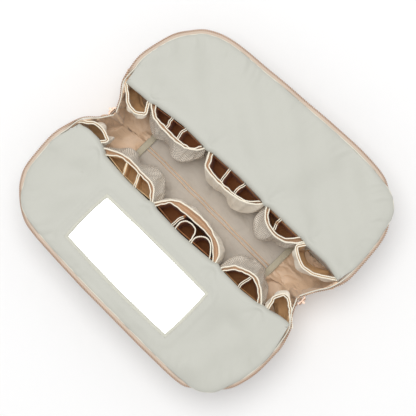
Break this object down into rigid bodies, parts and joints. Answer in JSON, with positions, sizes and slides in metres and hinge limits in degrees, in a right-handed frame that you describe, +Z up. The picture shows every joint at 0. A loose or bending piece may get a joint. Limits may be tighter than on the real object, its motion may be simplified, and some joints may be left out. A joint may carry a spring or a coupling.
{
  "type": "zip-round cosmetic case",
  "caption": "Soft clamshell cosmetic case laid open: two padded flaps with a zip round their edges, a mirror in one, and elastic brush slots and mesh pockets inside.",
  "frame": {"origin": "middle of the underside of the base", "axes": "+X along the case to its right end, +Y across it to the plain back flap, +Z up; the front flap with the mirror lies towards -Y"},
  "size_m": [0.25, 0.237, 0.0505],
  "materials": {
    "cover_cloth": "woven, matt",
    "flap_lining_satin": "satin weave, soft sheen",
    "inner_lining_satin": "satin weave, soft sheen",
    "gusset_satin": "satin weave, creased",
    "seam_tape": "ribbed tape",
    "zip_tape": "woven tape",
    "zip_coil": "moulded coil",
    "zip_metal": "smooth enamel",
    "pocket_mesh": "fine net",
    "pocket_cloth": "satin weave",
    "slot_cloth": "soft, matt",
    "elastic_binding": "ribbed elastic",
    "mirror": "polished",
    "foam": "soft open-cell foam, sealed in",
    "board": "sheet"
  },
  "bodies": {
    "base": {"back_end_bindings": "elastic_binding", "back_left_bindings": "elastic_binding", "back_left_end_pocket": "slot_cloth", "back_left_mesh_pocket": "pocket_mesh", "back_left_slots": "slot_cloth", "back_middle_bindings": "elastic_binding", "back_middle_cloth_pocket": "pocket_cloth", "back_middle_slots": "slot_cloth", "back_right_bindings": "elastic_binding", "back_right_end_pocket": "slot_cloth", "back_right_mesh_pocket": "pocket_mesh", "back_right_slots": "slot_cloth", "back_wall_cover": "cover_cloth", "back_wall_foam": "foam", "back_wall_lining": "inner_lining_satin", "base_board": "board", "base_cover": "cover_cloth", "base_lining": "inner_lining_satin", "centre_seam": "gusset_satin", "front_end_bindings": "elastic_binding", "front_left_bindings": "elastic_binding", "front_left_end_pocket": "slot_cloth", "front_left_mesh_pocket": "pocket_mesh", "front_left_slots": "slot_cloth", "front_middle_bindings": "elastic_binding", "front_middle_cloth_pocket": "pocket_cloth", "front_middle_slots": "slot_cloth", "front_right_bindings": "elastic_binding", "front_right_end_pocket": "slot_cloth", "front_right_mesh_pocket": "pocket_mesh", "front_right_slots": "slot_cloth", "front_wall_cover": "cover_cloth", "front_wall_foam": "foam", "front_wall_lining": "inner_lining_satin", "left_gusset": "gusset_satin", "left_seam_tape": "seam_tape", "left_slider": "zip_metal", "left_zip_end": "zip_tape", "right_gusset": "gusset_satin", "right_seam_tape": "seam_tape", "right_slider": "zip_metal", "right_zip_end": "zip_tape"},
    "front_flap": {"front_flap_cover": "cover_cloth", "front_flap_foam": "foam", "front_flap_lining": "flap_lining_satin", "front_zip_coil": "zip_coil", "front_zip_tape": "zip_tape", "mirror": "mirror", "mirror_trim": "flap_lining_satin"},
    "back_flap": {"back_flap_cover": "cover_cloth", "back_flap_foam": "foam", "back_flap_lining": "flap_lining_satin", "back_zip_coil": "zip_coil", "back_zip_tape": "zip_tape"},
    "left_pull": {"left_pull": "zip_metal"},
    "right_pull": {"right_pull": "zip_metal"}
  },
  "joints": [
    {"name": "front_flap_fold", "type": "hinge", "parent": "base", "child": "front_flap", "pos_m": [0, -0.034, 0.048], "axis": [-1, 0, 0], "range_deg": [0, 112.8]},
    {"name": "back_flap_fold", "type": "hinge", "parent": "base", "child": "back_flap", "pos_m": [0, 0.034, 0.048], "axis": [1, 0, 0], "range_deg": [0, 112.8]},
    {"name": "left_pull_swing", "type": "hinge", "parent": "base", "child": "left_pull", "pos_m": [-0.1107, 0, 0.036], "axis": [0, 1, 0], "range_deg": [0, 170]},
    {"name": "right_pull_swing", "type": "hinge", "parent": "base", "child": "right_pull", "pos_m": [0.1107, 0, 0.036], "axis": [0, -1, 0], "range_deg": [0, 170]}
  ]
}
